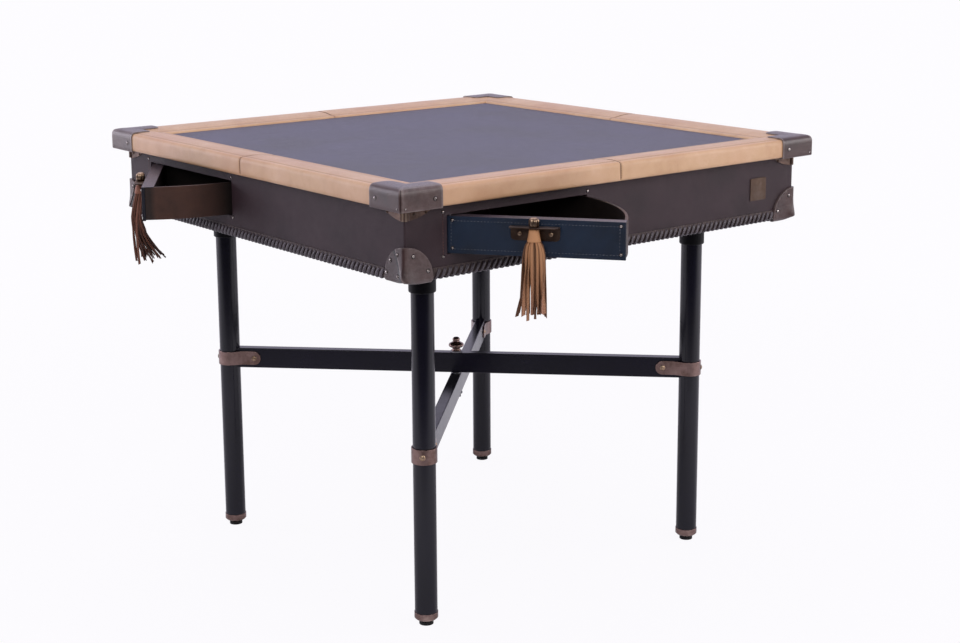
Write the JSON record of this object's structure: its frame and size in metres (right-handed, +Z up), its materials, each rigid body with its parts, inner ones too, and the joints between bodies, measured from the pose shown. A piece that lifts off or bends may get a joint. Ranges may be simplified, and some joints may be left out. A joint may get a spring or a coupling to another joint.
{
  "type": "mahjong table",
  "caption": "Square leather-covered game table with a raised padded rim, quadrant drawers that swing out of its sides on pins, leather tassel pulls, and a folding scissor base.",
  "frame": {"origin": "on the floor, on the table's vertical axis", "axes": "+Z up, square to the play surface; +Y towards the table's back edge and +X towards its right edge, -Y being the front side that carries the bare metal plate"},
  "size_m": [1.1542, 1.289, 0.7694],
  "materials": {
    "rim_leather": "smooth tan saddle leather over a padded rail",
    "guard_leather": "moulded dark brown leather, satin",
    "apron_leather": "dark brown leather on board, fine grain",
    "trim_leather": "dark brown leather, satin",
    "play_leather": "smooth slate leather stretched flat",
    "dark_wood": "stained board, satin",
    "brass": "brushed antique brass",
    "bronze": "satin antique bronze",
    "steel": "turned steel",
    "drawer_leather": "dark teal leather over board",
    "tray_leather": "dark brown leather over curved board",
    "tassel_leather": "thin tan leather, cut into strips",
    "tube_paint": "satin dark navy lacquer",
    "collar_paint": "satin dark brown lacquer",
    "glide_plastic": "black glide"
  },
  "bodies": {
    "upper_frame": {"leg_front_right": "tube_paint", "leg_back_left": "tube_paint", "stretcher_upper": "tube_paint", "leg_collars_upper": "collar_paint", "foot_caps_upper": "bronze", "straps_upper": "bronze", "strap_rivets_upper": "bronze", "pivot_bolt": "steel", "pivot_washers": "steel"},
    "lower_frame": {"leg_front_left": "tube_paint", "leg_back_right": "tube_paint", "stretcher_lower": "tube_paint", "leg_collars_lower": "collar_paint", "foot_caps_lower": "bronze", "straps_lower": "bronze", "strap_rivets_lower": "bronze"},
    "knob": {"finial_knob": "bronze"},
    "table_top": {"bottom_panel": "dark_wood", "corner_blocks": "dark_wood", "top_board": "dark_wood", "play_surface": "play_leather", "compartment_dividers": "dark_wood", "drawer_pins": "steel", "rim_corner_guards": "guard_leather", "corner_brackets": "brass", "lower_corner_patches": "trim_leather", "edge_bindings": "trim_leather", "face_plate": "brass", "apron_front": "apron_leather", "apron_right": "apron_leather", "apron_back": "apron_leather", "apron_left": "apron_leather", "rim_rail_front": "rim_leather", "rim_rail_right": "rim_leather", "rim_rail_back": "rim_leather", "rim_rail_left": "rim_leather"},
    "foot_front_left": {"glide_front_left": "glide_plastic"},
    "foot_back_right": {"glide_back_right": "glide_plastic"},
    "foot_front_right": {"glide_front_right": "glide_plastic"},
    "foot_back_left": {"glide_back_left": "glide_plastic"},
    "drawer_front": {"drawer_front_front": "drawer_leather", "drawer_tray_front": "tray_leather", "drawer_pull_front": "bronze", "pull_bead_front": "brass"},
    "tassel_swing_front": {"tassel_front": "tassel_leather"},
    "drawer_right": {"drawer_front_right": "drawer_leather", "drawer_tray_right": "tray_leather", "drawer_pull_right": "bronze", "pull_bead_right": "brass"},
    "tassel_swing_right": {"tassel_right": "tassel_leather"},
    "drawer_back": {"drawer_front_back": "drawer_leather", "drawer_tray_back": "tray_leather", "drawer_pull_back": "bronze", "pull_bead_back": "brass"},
    "tassel_swing_back": {"tassel_back": "tassel_leather"},
    "drawer_left": {"drawer_front_left": "drawer_leather", "drawer_tray_left": "tray_leather", "drawer_pull_left": "bronze", "pull_bead_left": "brass"},
    "tassel_swing_left": {"tassel_left": "tassel_leather"}
  },
  "joints": [
    {"name": "base_fold", "type": "hinge", "parent": "upper_frame", "child": "lower_frame", "pos_m": [0, 0, 0.295], "axis": [0, 0, 1], "range_deg": [0, 82]},
    {"name": "top_lift", "type": "slide", "parent": "upper_frame", "child": "table_top", "axis": [0, 0, 1], "range_m": [0, 0.12]},
    {"name": "knob_turn", "type": "hinge", "parent": "upper_frame", "child": "knob", "pos_m": [0, 0, 0.3675], "axis": [0, 0, 1], "continuous": true},
    {"name": "foot_screw_front_left", "type": "slide", "parent": "lower_frame", "child": "foot_front_left", "axis": [0, 0, -1], "range_m": [0, 0.01]},
    {"name": "foot_screw_back_right", "type": "slide", "parent": "lower_frame", "child": "foot_back_right", "axis": [0, 0, -1], "range_m": [0, 0.01]},
    {"name": "foot_screw_front_right", "type": "slide", "parent": "upper_frame", "child": "foot_front_right", "axis": [0, 0, -1], "range_m": [0, 0.01]},
    {"name": "foot_screw_back_left", "type": "slide", "parent": "upper_frame", "child": "foot_back_left", "axis": [0, 0, -1], "range_m": [0, 0.01]},
    {"name": "drawer_turn_front", "type": "hinge", "parent": "table_top", "child": "drawer_front", "pos_m": [-0.3415, -0.423, 0.685], "axis": [0, 0, -1], "range_deg": [-52.2, 27.8]},
    {"name": "tassel_hang_front", "type": "hinge", "parent": "drawer_front", "child": "tassel_swing_front", "pos_m": [-0.27452, -0.54443, 0.6926], "axis": [-0.6129, 0.7902, 0], "range_deg": [0, 60]},
    {"name": "drawer_turn_right", "type": "hinge", "parent": "table_top", "child": "drawer_right", "pos_m": [0.423, -0.3415, 0.685], "axis": [0, 0, -1], "range_deg": [-32.4, 47.6]},
    {"name": "tassel_hang_right", "type": "hinge", "parent": "drawer_right", "child": "tassel_swing_right", "pos_m": [0.51456, -0.23735, 0.6926], "axis": [-0.5358, -0.8443, 0], "range_deg": [0, 60]},
    {"name": "drawer_turn_back", "type": "hinge", "parent": "table_top", "child": "drawer_back", "pos_m": [0.3415, 0.423, 0.685], "axis": [0, 0, -1], "range_deg": [-52.2, 27.8]},
    {"name": "tassel_hang_back", "type": "hinge", "parent": "drawer_back", "child": "tassel_swing_back", "pos_m": [0.27452, 0.54443, 0.6926], "axis": [0.6129, -0.7902, 0], "range_deg": [0, 60]},
    {"name": "drawer_turn_left", "type": "hinge", "parent": "table_top", "child": "drawer_left", "pos_m": [-0.423, 0.3415, 0.685], "axis": [0, 0, -1], "range_deg": [-32.4, 47.6]},
    {"name": "tassel_hang_left", "type": "hinge", "parent": "drawer_left", "child": "tassel_swing_left", "pos_m": [-0.51456, 0.23735, 0.6926], "axis": [0.5358, 0.8443, 0], "range_deg": [0, 60]}
  ]
}
